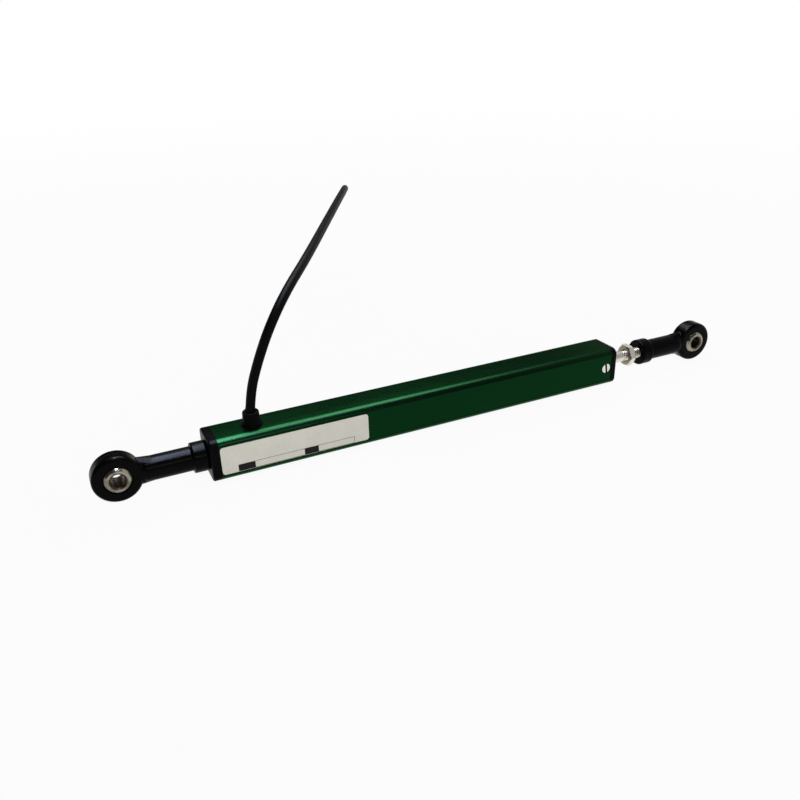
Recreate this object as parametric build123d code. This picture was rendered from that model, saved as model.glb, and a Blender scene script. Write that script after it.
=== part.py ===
from build123d import *
import math
import os

# A linear position sensor: a square extruded housing with a sliding rod and a jointed eye at each end.
# Millimetres. The origin is the centre of the fixed eye's ball. The stroke runs along X, both eyes
# turn about Y, and Z is up, on the side of the cable gland. The rod is drawn fully in.

# Travel
stroke = 75.0
over_travel = 0.5
running_fit = 0.03
seat_fit = 0.02

# Rod ends
ball_diameter = 9.5
ball_width = 7.0
eye_bore = 4.0
eye_chamfer = 0.45
head_diameter = 14.0
head_width = 5.8
head_rounding = 1.2
eye_reach = 25.0
shank_diameter = 7.2
neck_start = 4.5
neck_end = 9.7
neck_height = 8.9
neck_inset = 0.05
collar_diameter = 9.0
collar_length = 4.3
collar_chamfer = 0.4
thread_hole_depth = 12.0

# M4 rod thread and the lock nut
thread_diameter = 4.0
thread_flank = 0.05
thread_chamfer = 0.45
nut_across_flats = 7.0
nut_thickness = 2.2
nut_gap = 3.3
nut_chamfer = 0.5

# Extruded housing
section = 13.0
edge_radius = 2.3
wall = 1.3
inner_radius = 0.8
recess_height = 9.2
recess_depth = 0.12

# Rear end cap and its stud
rear_flange = 2.5
rear_spigot = 6.5
cap_chamfer = 0.5
spigot_fit = 0.05
stud_grip = 9.0
stud_reach = 10.0

# Front end cap with its bush and seal
front_flange = 1.9
front_boss_height = 0.5
front_boss_diameter = 8.0
front_boss_chamfer = 0.3
front_spigot = 24.75
bush_diameter = 6.0
bush_length = 14.0
bush_backing = 0.6
press_fit = 0.01
rod_clearance = 0.3
seal_length = 1.8
seal_lip = 0.5
rod_closed_length = 14.35

# Cap seals, one round each spigot
cap_seal_width = 1.0
cap_seal_depth = 0.8
cap_seal_inset = 4.4

# Screws that pin both caps through the housing's sides
screw_head_diameter = 3.4
screw_head_height = 1.15
screw_hole_fit = 0.05
screw_thread_diameter = 2.0
screw_thread_length = 1.8
screw_inset = 2.2
slot_width = 0.7
slot_depth = 0.55
slot_tilt = -8.0

# Rod, carriage and the ring and clip that hold them together
rod_diameter = 4.0
rod_thread_length = 15.0
rod_engagement = 8.5
journal_diameter = 3.0
carriage_setback = 16.0
carriage_length = 15.0
carriage_fit = 0.08
carriage_underside = -2.2
carriage_corner = 1.0
pocket_length = 8.0
pocket_height = 3.6
pocket_middle = 1.4
pocket_depth = 1.2
end_play = 0.05
washer_diameter = 5.8
washer_thickness = 0.5
washer_play = 0.1
clip_diameter = 5.2
clip_thickness = 0.4
clip_groove = 2.3
clip_mouth = 1.6
journal_tail = 0.7

# Track board, printed tracks, wiper and terminals
board_thickness = 0.8
board_floor = -4.0
board_slot_depth = 0.35
board_slot_play = 0.1
board_end_gap = 0.3
track_width = 2.2
track_offset = 2.2
track_thickness = 0.06
track_margin = 3.0
track_end_gap = 1.0
wiper_sheet = 0.15
wiper_inset = 1.0
wiper_plate_length = 6.0
wiper_width = 7.4
finger_root = 0.5
finger_length = 6.0
finger_contact = 0.6
finger_curl = 0.35
finger_width = 0.5
finger_pitch = 0.75
fingers_per_track = 3
finger_lift = 0.02
rivet_diameter = 0.7
rivet_head_diameter = 1.3
rivet_head_height = 0.25
rivet_length = 1.6
rivet_spacing = 4.6
pin_diameter = 0.7
pin_collar_diameter = 1.4
pin_collar_height = 0.3
pin_height = 2.2
pin_tail = 0.4
pin_pitch = 2.6
pin_inset = 3.0

# Cable gland, its lock nut and the inner leads
gland_setback = 14.2
gland_flange_diameter = 6.4
gland_flange_height = 0.5
gland_base_diameter = 5.3
gland_top_diameter = 4.8
gland_height = 4.2
gland_chamfer = 0.35
gland_thread_diameter = 4.0
gland_tail = 2.3
gland_nut_across_flats = 6.0
gland_nut_thickness = 1.2
lead_diameter = 0.8
lead_pitch = 0.95
lead_rise = 1.5
lead_drop = 1.2

# Label
label_length = 45.4
label_height = 8.7
label_thickness = 0.1
label_corner = 1.0
label_inset = 0.25

# Free cable, 0.5 m with its stripped cores
cable_diameter = 2.8
cable_rise = 6.2
core_diameter = 0.9
core_pitch = 0.9
core_length = 25.0
core_spread = 1.8
core_bend = 2.7

# Places that follow from the sizes above
rear_flange_x = eye_reach
tube_start = rear_flange_x + rear_flange
rear_seal_x = tube_start + cap_seal_inset
rear_spigot_end = tube_start + rear_spigot
stud_end = rear_flange_x + stud_grip
board_start = rear_spigot_end + board_end_gap
pin_x = board_start + pin_inset
gland_x = rear_flange_x + gland_setback
carriage_start = rear_spigot_end + carriage_setback
carriage_end = carriage_start + carriage_length
washer_x = carriage_start - end_play - washer_thickness
clip_x = washer_x - end_play - clip_thickness
journal_start = clip_x - journal_tail
rivet_x = carriage_start + wiper_inset + wiper_plate_length / 2
front_spigot_start = carriage_end + stroke + over_travel
board_end = front_spigot_start - board_end_gap
tube_end = front_spigot_start + front_spigot
front_seal_x = tube_end - cap_seal_inset - cap_seal_width
front_face = tube_end + front_flange
front_boss_x = front_face + front_boss_height
seal_x = front_boss_x - seal_length
bush_end = seal_x - bush_backing
bush_start = bush_end - bush_length
front_collar_x = front_face + rod_closed_length
rod_tip = front_collar_x + rod_engagement
moving_eye_x = front_collar_x + eye_reach
cavity = section - 2 * wall
spigot_side = cavity - 2 * spigot_fit
board_top = board_floor + board_thickness
track_top = board_top + track_thickness
pin_top = board_top + pin_height
pin_places = [pin_pitch * n for n in (-1, 0, 1)]
gland_top = section / 2 + gland_height
gland_bottom = cavity / 2 - gland_tail
table_z = -head_diameter / 2
cable_floor = table_z + cable_diameter / 2
core_floor = table_z + core_diameter / 2


def across(x):
    """Plane square to the stroke at x, with its own x along Y and its y along Z."""
    return Plane(origin=(x, 0, 0), x_dir=(0, 1, 0), z_dir=(1, 0, 0))


def bar(sketch, start, end):
    """Extrude a sketch along X from start to end."""
    return extrude(across(start) * sketch, amount=end - start)


def rod(diameter, start, end):
    """Round bar along X."""
    return bar(Circle(diameter / 2), start, end)


def side_rod(diameter, x, z, start, end):
    """Round bar along Y."""
    plane = Plane(origin=(x, start, z), x_dir=(1, 0, 0), z_dir=(0, 1, 0))
    return extrude(plane * Circle(diameter / 2), amount=end - start)


def up_rod(diameter, x, y, start, end):
    """Round bar along Z."""
    return extrude(Plane.XY.offset(start) * Pos(x, y) * Circle(diameter / 2), amount=end - start)


def block(x_range, y_range, z_range):
    """Rectangular block between pairs of limits."""
    sizes = [high - low for low, high in (x_range, y_range, z_range)]
    middle = [(low + high) / 2 for low, high in (x_range, y_range, z_range)]
    return Pos(*middle) * Box(*sizes)


def hexagon(across_flats, start, end, chamfer_size):
    """Hexagonal bar along X with turned corners at both ends and a flat on top."""
    prism = bar(RegularPolygon(across_flats / 2, 6, major_radius=False), start, end)
    turned = rod(2 * across_flats / math.sqrt(3), start, end)
    turned = chamfer(turned.edges().filter_by(GeomType.CIRCLE), chamfer_size)
    return prism & turned


def facing_back(shape):
    """Turn a rod end so that its shank points back along X from the moving eye."""
    return Pos(moving_eye_x, 0, 0) * Rot(0, 0, 180) * shape


# Rod ends: moulded heads with a spherical race that traps a steel ball
def rod_end_body():
    head = extrude(Plane.XZ * Circle(head_diameter / 2), amount=head_width / 2, both=True)
    head = fillet(head.edges().filter_by(GeomType.CIRCLE), head_rounding)
    neck_root = across(neck_start) * Ellipse(head_width / 2 - neck_inset, neck_height / 2)
    neck_tip = across(neck_end) * Circle(shank_diameter / 2)
    neck = loft([neck_root, neck_tip])
    collar_start = eye_reach - collar_length
    shank = rod(shank_diameter, neck_end, collar_start)
    collar = rod(collar_diameter, collar_start, eye_reach)
    collar = chamfer(collar.edges().filter_by(GeomType.CIRCLE), collar_chamfer)
    race = Sphere(ball_diameter / 2 + running_fit)
    hole = rod(thread_diameter, eye_reach - thread_hole_depth, eye_reach)
    return head + neck + shank + collar - race - hole


def ball():
    solid = Sphere(ball_diameter / 2)
    solid &= extrude(Plane.XZ * Circle(ball_diameter), amount=ball_width / 2, both=True)
    solid -= extrude(Plane.XZ * Circle(eye_bore / 2), amount=ball_width, both=True)
    bore_rims = solid.edges().filter_by(GeomType.CIRCLE).group_by(SortBy.RADIUS)[0]
    return chamfer(bore_rims, eye_chamfer)


# Housing: one aluminium extrusion, drilled for the gland and the cap screws
def housing_tube():
    tube = bar(RectangleRounded(section, section, edge_radius), tube_start, tube_end)
    tube -= bar(RectangleRounded(cavity, cavity, inner_radius), tube_start, tube_end)
    slot_half = cavity / 2 + board_slot_depth
    slot_top = board_top + board_slot_play
    tube -= block((tube_start, tube_end), (-slot_half, slot_half), (board_floor, slot_top))
    recess_floor = -section / 2 + recess_depth
    recess_z = (-recess_height / 2, recess_height / 2)
    tube -= block((tube_start, tube_end), (-section, recess_floor), recess_z)
    tube -= up_rod(gland_thread_diameter + 2 * seat_fit, gland_x, 0, 0, section)
    for x in (tube_start + screw_inset, tube_end - screw_inset):
        tube -= side_rod(screw_head_diameter + 2 * screw_hole_fit, x, 0, -section, section)
    return tube


def spigot(start, end, groove_x):
    """Square plug that fits the housing, with a groove for its seal and gaps for the board's slots."""
    plug = bar(RectangleRounded(spigot_side, spigot_side, inner_radius), start, end)
    groove_side = spigot_side - 2 * cap_seal_depth
    groove_end = groove_x + cap_seal_width
    groove = bar(Rectangle(section, section), groove_x, groove_end)
    groove -= bar(RectangleRounded(groove_side, groove_side, inner_radius), groove_x, groove_end)
    return plug - groove


def cap_seal(groove_x):
    """Square ring that fills the groove in a spigot."""
    outer = spigot_side
    inner = spigot_side - 2 * cap_seal_depth + 2 * seat_fit
    start = groove_x + seat_fit
    end = groove_x + cap_seal_width - seat_fit
    ring = bar(RectangleRounded(outer, outer, inner_radius), start, end)
    return ring - bar(RectangleRounded(inner, inner, inner_radius), start, end)


def flange(start, end, outer_face):
    """End plate with the housing's outline and a chamfered outer edge."""
    plate = bar(RectangleRounded(section, section, edge_radius), start, end)
    rim = plate.faces().filter_by(Axis.X).sort_by(Axis.X)[outer_face].edges()
    return chamfer(rim, cap_chamfer)


def screw_seats(x):
    """Threaded holes for the pair of screws that enter a spigot from its two sides."""
    diameter = screw_thread_diameter + 2 * seat_fit
    outer = spigot_side / 2
    inner = outer - screw_thread_length - seat_fit
    return side_rod(diameter, x, 0, -outer, -inner) + side_rod(diameter, x, 0, inner, outer)


def screw_pair(x):
    """Two slotted screws whose heads fill the housing's side holes and bear on the spigot."""
    pair = []
    for side in (-1, 1):
        seat = side * spigot_side / 2
        top = seat + side * screw_head_height
        tip = seat - side * screw_thread_length
        head = side_rod(screw_head_diameter, x, 0, min(seat, top), max(seat, top))
        shank = side_rod(screw_thread_diameter, x, 0, min(seat, tip), max(seat, tip))
        slot = Box(slot_width, 2 * slot_depth, 2 * screw_head_diameter)
        slot = Pos(x, top, 0) * Rot(0, slot_tilt, 0) * slot
        pair.append(head + shank - slot)
    return pair


def rear_end_cap():
    cap = flange(rear_flange_x, tube_start, 0)
    cap += spigot(tube_start, rear_spigot_end, rear_seal_x)
    cap -= screw_seats(tube_start + screw_inset)
    return cap - rod(thread_diameter, rear_flange_x, stud_end)


def rear_stud():
    stud = rod(thread_diameter - 2 * thread_flank, rear_flange_x - stud_reach, stud_end)
    return chamfer(stud.edges().filter_by(GeomType.CIRCLE), thread_chamfer)


def front_end_cap():
    cap = flange(tube_end, front_face, -1)
    boss = rod(front_boss_diameter, tube_end, front_boss_x)
    rim = boss.edges().filter_by(GeomType.CIRCLE).sort_by(Axis.X)[-1]
    cap += chamfer(rim, front_boss_chamfer)
    cap += spigot(front_spigot_start, tube_end, front_seal_x)
    cap -= screw_seats(tube_end - screw_inset)
    cap -= rod(bush_diameter, front_spigot_start, bush_end)
    cap -= rod(rod_diameter + 2 * rod_clearance, bush_end, front_boss_x)
    return cap - rod(bush_diameter, seal_x, front_boss_x)


def shaft_bush():
    bush = rod(bush_diameter - 2 * press_fit, bush_start, bush_end)
    return bush - rod(rod_diameter + 2 * running_fit, bush_start, bush_end)


def rod_seal():
    """Ring round the rod with a tapered mouth on its outer side."""
    seal = rod(bush_diameter - 2 * seat_fit, seal_x, front_boss_x)
    seal -= rod(rod_diameter + 2 * running_fit, seal_x, front_boss_x)
    mouth = Cone(rod_diameter / 2, rod_diameter / 2 + seal_lip, seal_lip, rotation=(0, 90, 0))
    return seal - Pos(front_boss_x - seal_lip / 2, 0, 0) * mouth


# Sliding parts inside the housing
def shaft():
    """Rod with a thread at its outer end and a thinner journal, grooved for the clip, at its inner end."""
    shoulder = carriage_end + end_play
    thread_start = rod_tip - rod_thread_length
    body = rod(rod_diameter, shoulder, thread_start)
    thread = rod(thread_diameter - 2 * thread_flank, thread_start, rod_tip)
    tip_edge = thread.edges().filter_by(GeomType.CIRCLE).sort_by(Axis.X)[-1]
    thread = chamfer(tip_edge, thread_chamfer)
    journal = rod(journal_diameter, journal_start, shoulder)
    groove_start = clip_x - seat_fit
    groove_end = clip_x + clip_thickness + seat_fit
    groove = rod(rod_diameter, groove_start, groove_end) - rod(clip_groove, groove_start, groove_end)
    return body + thread + journal - groove


def carriage():
    half = cavity / 2 - carriage_fit
    profile = RectangleRounded(2 * half, 2 * half, carriage_corner)
    profile &= Pos(0, (carriage_underside + half) / 2) * Rectangle(2 * half, half - carriage_underside)
    body = bar(profile, carriage_start, carriage_end)
    middle = (carriage_start + carriage_end) / 2
    span = (middle - pocket_length / 2, middle + pocket_length / 2)
    height = (pocket_middle - pocket_height / 2, pocket_middle + pocket_height / 2)
    body -= block(span, (half - pocket_depth, section), height)
    body -= block(span, (-section, pocket_depth - half), height)
    body -= rod(journal_diameter + 2 * running_fit, carriage_start, carriage_end)
    for y in (-rivet_spacing / 2, rivet_spacing / 2):
        top = carriage_underside + rivet_length
        body -= up_rod(rivet_diameter + 2 * seat_fit, rivet_x, y, carriage_underside, top)
    return body


def retaining_washer():
    end = washer_x + washer_thickness
    bore = rod(journal_diameter + 2 * washer_play, washer_x, end)
    return rod(washer_diameter, washer_x, end) - bore


def retaining_clip():
    end = clip_x + clip_thickness
    clip = rod(clip_diameter, clip_x, end) - rod(clip_groove + 2 * seat_fit, clip_x, end)
    mouth = block((clip_x, end), (-clip_mouth / 2, clip_mouth / 2), (0, clip_diameter))
    return clip - mouth


# Electrical parts
def track_board():
    half = cavity / 2 + board_slot_depth - seat_fit
    board = block((board_start, board_end), (-half, half), (board_floor, board_top))
    for y in pin_places:
        board -= up_rod(pin_diameter + 2 * seat_fit, pin_x, y, board_floor, board_top)
    return board


def track(side):
    """Printed strip on the board, on one side of its middle."""
    middle = side * track_offset
    across_board = (middle - track_width / 2, middle + track_width / 2)
    along_board = (carriage_start - track_margin, board_end - track_end_gap)
    return block(along_board, across_board, (board_top, track_top))


def terminal_pins():
    pins = []
    for y in pin_places:
        pin = up_rod(pin_diameter, pin_x, y, board_floor - pin_tail, pin_top)
        pins.append(pin + up_rod(pin_collar_diameter, pin_x, y, board_top, board_top + pin_collar_height))
    return pins


def wiper():
    """Spring sheet with a row of bent fingers over each track."""
    top = carriage_underside
    low = top - wiper_sheet
    plate_start = carriage_start + wiper_inset
    plate_end = plate_start + wiper_plate_length
    sheet = block((plate_start, plate_end), (-wiper_width / 2, wiper_width / 2), (low, top))
    tip = track_top + finger_lift
    tip_x = plate_end + finger_length
    side_view = Polyline(
        (plate_end - finger_root, low),
        (tip_x - finger_contact, tip),
        (tip_x, tip + finger_curl),
        (tip_x, tip + finger_curl + wiper_sheet),
        (tip_x - finger_contact, tip + wiper_sheet),
        (plate_end, top),
        (plate_end - finger_root, top),
        close=True,
    )
    finger = extrude(Plane.XZ * make_face(side_view), amount=finger_width / 2, both=True)
    middle = (fingers_per_track - 1) / 2
    for side in (-1, 1):
        for n in range(fingers_per_track):
            sheet += Pos(0, side * track_offset + (n - middle) * finger_pitch, 0) * finger
    for y in (-rivet_spacing / 2, rivet_spacing / 2):
        sheet -= up_rod(rivet_diameter + 2 * seat_fit, rivet_x, y, low, top)
    return sheet


def wiper_rivets():
    rivets = []
    seat = carriage_underside - wiper_sheet
    for y in (-rivet_spacing / 2, rivet_spacing / 2):
        shank = up_rod(rivet_diameter, rivet_x, y, seat, carriage_underside + rivet_length)
        head = up_rod(rivet_head_diameter, rivet_x, y, seat - rivet_head_height, seat)
        rivets.append(shank + head)
    return rivets


def cable_gland():
    flange_top = section / 2 + gland_flange_height
    body = up_rod(gland_flange_diameter, gland_x, 0, section / 2, flange_top)
    collar_height = gland_top - flange_top
    collar = Cone(gland_base_diameter / 2, gland_top_diameter / 2, collar_height)
    rim = collar.edges().filter_by(GeomType.CIRCLE).sort_by(Axis.Z)[-1]
    collar = chamfer(rim, gland_chamfer)
    body += Pos(gland_x, 0, flange_top + collar_height / 2) * collar
    return body + up_rod(gland_thread_diameter, gland_x, 0, gland_bottom, section / 2)


def gland_lock_nut():
    top = cavity / 2
    bottom = top - gland_nut_thickness
    outline = Pos(gland_x, 0) * RegularPolygon(gland_nut_across_flats / 2, 6, major_radius=False)
    nut = extrude(Plane.XY.offset(bottom) * outline, amount=gland_nut_thickness)
    return nut - up_rod(gland_thread_diameter + 2 * seat_fit, gland_x, 0, bottom, top)


def tube_along(path, diameter, direction, corners=Transition.TRANSFORMED):
    """Round tube swept along a path that starts in a given direction."""
    start = Plane(origin=path @ 0, z_dir=direction)
    return sweep(start * Circle(diameter / 2), path=path, transition=corners)


def inner_leads():
    leads = []
    for n, pin_y in zip((-1, 0, 1), pin_places):
        lead_y = n * lead_pitch
        points = [
            (pin_x, pin_y, pin_top),
            (pin_x, pin_y, pin_top + lead_rise),
            (gland_x, lead_y, gland_bottom - lead_drop),
            (gland_x, lead_y, gland_bottom),
        ]
        leads.append(tube_along(Polyline(*points), lead_diameter, (0, 0, 1), Transition.RIGHT))
    return leads


def label():
    x = tube_start + label_inset + label_length / 2
    face = -section / 2 + recess_depth
    plane = Plane(origin=(x, face, 0), x_dir=(1, 0, 0), z_dir=(0, -1, 0))
    outline = plane * RectangleRounded(label_length, label_height, label_corner)
    return extrude(outline, amount=label_thickness)


def lock_nut():
    start = front_collar_x - nut_gap - nut_thickness
    nut = hexagon(nut_across_flats, start, start + nut_thickness, nut_chamfer)
    return nut - rod(thread_diameter, start, start + nut_thickness)


# Free cable: up out of the gland, over in an arch and back along the housing on the bench
cable_route = [
    (gland_x, 0, gland_top),
    (gland_x, 0, gland_top + cable_rise),
    (43.1, -2.3, 26.1),
    (45.9, -4.4, 36.3),
    (53.0, -0.3, 44.3),
    (65.0, 14.9, 48.8),
    (80.7, 41.7, 50.8),
    (97.6, 72.3, 51.6),
    (112.6, 102.4, 49.9),
    (121.6, 127.9, 43.5),
    (119.9, 142.4, 30.4),
    (109.2, 144.5, 13.5),
    (94.2, 143.8, cable_floor),
    (78.6, 112.1, cable_floor),
    (65.4, 83.1, cable_floor),
    (54.4, 56.4, cable_floor),
    (49.0, 40.5, cable_floor),
    (43.6, 26.0, cable_floor),
    (50.6, 12.8, cable_floor),
    (68.0, 9.8, cable_floor),
    (96.0, 10.4, cable_floor),
    (124.0, 9.8, cable_floor),
    (148.0, 11.5, cable_floor),
]


def arc_radii(points):
    """Radius at each corner: nearly half of the shorter run goes into the bend."""
    radii = []
    for before, corner, after in zip(points, points[1:], points[2:]):
        arriving = Vector(*corner) - Vector(*before)
        leaving = Vector(*after) - Vector(*corner)
        half_turn = math.radians(arriving.get_angle(leaving)) / 2
        radii.append(0.45 * min(arriving.length, leaving.length) / math.tan(half_turn))
    return radii


def cable():
    path = FilletPolyline(*cable_route, radius=arc_radii(cable_route))
    tube = tube_along(path, cable_diameter, (0, 0, 1))
    expected = path.length * math.pi * cable_diameter**2 / 4
    print("cable length", round(path.length, 1), "volume share", round(tube.volume / expected, 5))
    print("cable radii", [round(radius, 1) for radius in arc_radii(cable_route)])
    return tube


def lead_cores():
    """Three stripped cores that leave the jacket side by side, drop to the bench and fan out."""
    end = Vector(*cable_route[-1])
    along = (end - Vector(*cable_route[-2])).normalized()
    side = Vector(-along.Y, along.X, 0)
    drop = Vector(0, 0, core_floor - cable_floor)
    cores = []
    for n in (-1, 0, 1):
        root = end + side * (n * core_pitch)
        bend = root + along * (core_length / 4)
        landing = root + along * (core_length / 2) + side * (n * core_spread / 2) + drop
        tip = root + along * core_length + side * (n * core_spread * 1.5) + drop
        path = FilletPolyline(root, bend, landing, tip, radius=core_bend)
        cores.append(tube_along(path, core_diameter, along))
    return cores


nodes = {
    "housing_tube": housing_tube(),
    "rear_end_cap": rear_end_cap(),
    "rear_cap_seal": cap_seal(rear_seal_x),
    "rear_cap_screws": screw_pair(tube_start + screw_inset),
    "rear_stud": rear_stud(),
    "rear_rod_end": rod_end_body(),
    "rear_ball": ball(),
    "front_end_cap": front_end_cap(),
    "front_cap_seal": cap_seal(front_seal_x),
    "front_cap_screws": screw_pair(tube_end - screw_inset),
    "shaft_bush": shaft_bush(),
    "rod_seal": rod_seal(),
    "shaft": shaft(),
    "retaining_washer": retaining_washer(),
    "retaining_clip": retaining_clip(),
    "carriage": carriage(),
    "wiper": wiper(),
    "wiper_rivets": wiper_rivets(),
    "track_board": track_board(),
    "resistive_track": track(-1),
    "collector_track": track(1),
    "terminal_pins": terminal_pins(),
    "inner_leads": inner_leads(),
    "cable_gland": cable_gland(),
    "gland_lock_nut": gland_lock_nut(),
    "label": label(),
    "cable": cable(),
    "lead_cores": lead_cores(),
    "lock_nut": lock_nut(),
    "front_rod_end": facing_back(rod_end_body()),
    "front_ball": facing_back(ball()),
}

os.makedirs("parts", exist_ok=True)
for name, shape in nodes.items():
    solids = shape if isinstance(shape, list) else [shape]
    export_step(Compound(children=solids) if len(solids) > 1 else solids[0], f"parts/{name}.step")
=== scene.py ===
import math

import bmesh
import bpy
from mathutils import Matrix, Vector


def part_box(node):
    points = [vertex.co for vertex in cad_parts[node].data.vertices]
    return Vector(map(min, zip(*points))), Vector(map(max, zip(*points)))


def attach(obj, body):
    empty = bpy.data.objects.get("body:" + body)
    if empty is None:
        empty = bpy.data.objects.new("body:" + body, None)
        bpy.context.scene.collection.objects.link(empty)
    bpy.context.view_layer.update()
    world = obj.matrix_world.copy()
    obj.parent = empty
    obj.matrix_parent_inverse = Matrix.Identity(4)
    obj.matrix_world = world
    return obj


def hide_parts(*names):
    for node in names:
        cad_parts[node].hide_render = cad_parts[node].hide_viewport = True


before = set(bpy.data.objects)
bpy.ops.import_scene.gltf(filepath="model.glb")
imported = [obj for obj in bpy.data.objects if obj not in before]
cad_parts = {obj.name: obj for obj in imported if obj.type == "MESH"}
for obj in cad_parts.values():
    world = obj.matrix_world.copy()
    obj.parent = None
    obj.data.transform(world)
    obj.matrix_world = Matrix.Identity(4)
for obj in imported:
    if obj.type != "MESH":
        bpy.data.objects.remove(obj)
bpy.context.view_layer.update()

# Camera
# It stands above the bench in front of the fixed eye, near enough for the far eye to look
# clearly smaller. Its place was fitted to the outline of the housing and both rod ends.
camera_place = (-0.007427, -0.205315, 0.112276)
camera_yaw = math.radians(24.6704)
camera_pitch = math.radians(25.8122)
camera_roll = math.radians(-1.8433)
camera_lens = 35.782

camera_data = bpy.data.cameras.new("camera")
camera_data.lens = camera_lens
camera_data.sensor_width = 36.0
camera_data.clip_start = 0.005
camera_data.clip_end = 50.0
camera = bpy.data.objects.new("camera", camera_data)
bpy.context.scene.collection.objects.link(camera)
turned_to_scene = Matrix.Rotation(-camera_yaw, 3, "Z") @ Matrix.Rotation(math.pi / 2 - camera_pitch, 3, "X")
camera.location = camera_place
camera.rotation_euler = (turned_to_scene @ Matrix.Rotation(camera_roll, 3, "Z")).to_euler()
bpy.context.scene.camera = camera
bpy.context.scene.view_settings.view_transform = "Standard"


# Cable
# A round three-core cable with a black PVC jacket. It is bonded into the gland, stands up
# out of it, arches over and comes back along the bench to its stripped end.
cable_diameter = 0.0028
core_diameter = 0.0009
core_length = 0.025
core_spread = 0.0018
bare_length = 0.005
wire_diameter = 0.00015
bench_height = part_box("rear_rod_end")[0].z
on_bench = bench_height + cable_diameter / 2
gland_low, gland_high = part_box("cable_gland")
gland_x = (gland_low.x + gland_high.x) / 2
gland_top = gland_high.z
cable_points = [
    (gland_x, 0, gland_top),
    (gland_x + 0.0007, -0.0003, gland_top + 0.0062),
    (0.0426, -0.0020, 0.0263),
    (0.0461, -0.0045, 0.0364),
    (0.0529, -0.0003, 0.0442),
    (0.0650, 0.0149, 0.0488),
    (0.0807, 0.0417, 0.0508),
    (0.0976, 0.0723, 0.0516),
    (0.1126, 0.1024, 0.0499),
    (0.1216, 0.1279, 0.0435),
    (0.1199, 0.1424, 0.0304),
    (0.1092, 0.1445, 0.0135),
    (0.0942, 0.1438, on_bench),
    (0.0786, 0.1121, on_bench),
    (0.0654, 0.0831, on_bench),
    (0.0544, 0.0564, on_bench),
    (0.0490, 0.0405, on_bench),
    (0.0436, 0.0260, on_bench),
    (0.0506, 0.0128, on_bench),
    (0.0680, 0.0098, on_bench),
    (0.0960, 0.0104, on_bench),
    (0.1240, 0.0098, on_bench),
    (0.1480, 0.0115, on_bench),
]


def cord_curve(name, points, diameter):
    """A round cord whose line is one smooth spline with the given control points."""
    curve = bpy.data.curves.new(name, "CURVE")
    curve.dimensions = "3D"
    curve.bevel_depth = diameter / 2
    curve.bevel_resolution = 8
    curve.use_fill_caps = True
    spline = curve.splines.new("NURBS")
    spline.points.add(len(points) - 1)
    for point, place in zip(spline.points, points):
        point.co = (*place, 1)
    spline.order_u = 3
    spline.use_endpoint_u = True
    spline.resolution_u = 16
    cord = bpy.data.objects.new(name, curve)
    bpy.context.scene.collection.objects.link(cord)
    return cord


class Shade:
    """A value in a material's nodes. Arithmetic on it adds Math nodes, and node() adds any other."""

    def __init__(self, tree, output=None):
        self.tree = tree
        self.output = output

    def node(self, kind, settings=None, sockets=None):
        made = self.tree.nodes.new("ShaderNode" + kind)
        for name, value in (settings or {}).items():
            setattr(made, name, value)
        for name, value in (sockets or {}).items():
            if isinstance(value, Shade):
                self.tree.links.new(value.output, made.inputs[name])
            else:
                made.inputs[name].default_value = value
        return Shade(self.tree, next((output for output in made.outputs if output.enabled), None))

    def part(self, name):
        return Shade(self.tree, self.output.node.outputs[name])

    def math(self, operation, first, second=0.5, third=0.5):
        return self.node("Math", {"operation": operation}, {0: first, 1: second, 2: third})

    def __add__(self, other):
        return self.math("ADD", self, other)

    def __radd__(self, other):
        return self.math("ADD", other, self)

    def __sub__(self, other):
        return self.math("SUBTRACT", self, other)

    def __rsub__(self, other):
        return self.math("SUBTRACT", other, self)

    def __mul__(self, other):
        return self.math("MULTIPLY", self, other)

    def __rmul__(self, other):
        return self.math("MULTIPLY", other, self)

    def band(self, low, high):
        """0 below low, 1 above high and a smooth step between them."""
        settings = {"interpolation_type": "SMOOTHSTEP"}
        return self.node("MapRange", settings, {"Value": self, "From Min": low, "From Max": high})

    def place(self, scale=(1, 1, 1)):
        """Object coordinates stretched by a scale."""
        coordinates = self.node("TexCoord").part("Object")
        return self.node("Mapping", {}, {"Vector": coordinates, "Scale": scale})

    def noise(self, size, scale=(1, 1, 1), detail=3.0):
        """Soft noise whose features are about size metres across."""
        place = self.place(scale)
        return self.node("TexNoise", {}, {"Vector": place, "Scale": 1 / size, "Detail": detail})

    def blend(self, mask, first, second):
        """Colour that goes from first to second as mask goes from 0 to 1."""
        return self.node("Mix", {"data_type": "RGBA"}, {"Factor": mask, 6: first, 7: second}).part(2)

    def bump(self, height, distance, strength=1.0):
        return self.node("Bump", {}, {"Height": height, "Distance": distance, "Strength": strength})

    def finish(self, sockets):
        """A surface from the sockets of one Principled shader."""
        surface = self.node("BsdfPrincipled", {}, sockets)
        self.node("OutputMaterial", {}, {"Surface": surface})


def new_material(name):
    """An empty material and the Shade that builds its nodes."""
    made = bpy.data.materials.new(name)
    made.use_nodes = True
    made.node_tree.nodes.clear()
    return made, Shade(made.node_tree)


jacket, shade = new_material("cable_jacket")
jacket_grain = shade.noise(0.00025, detail=4.0)
jacket_scuff = shade.noise(0.004)
shade.finish({
    "Base Color": shade.blend(jacket_scuff, (0.0008, 0.0008, 0.0009, 1), (0.0018, 0.0018, 0.0020, 1)),
    "Roughness": 0.40 + jacket_scuff * 0.16,
    "Specular IOR Level": 0.04,
    "Normal": shade.bump(jacket_grain, 0.00002),
})

cable = cord_curve("cable_run", cable_points, cable_diameter)
cable.data.materials.append(jacket)
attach(cable, "housing")
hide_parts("cable")


def only(piece):
    """Select one object alone."""
    bpy.ops.object.select_all(action="DESELECT")
    piece.select_set(True)
    bpy.context.view_layer.objects.active = piece


def place_mesh():
    """Put the active object's place, turn and size into its mesh."""
    bpy.ops.object.transform_apply(location=True, rotation=True, scale=True)
    return bpy.context.object


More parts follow.
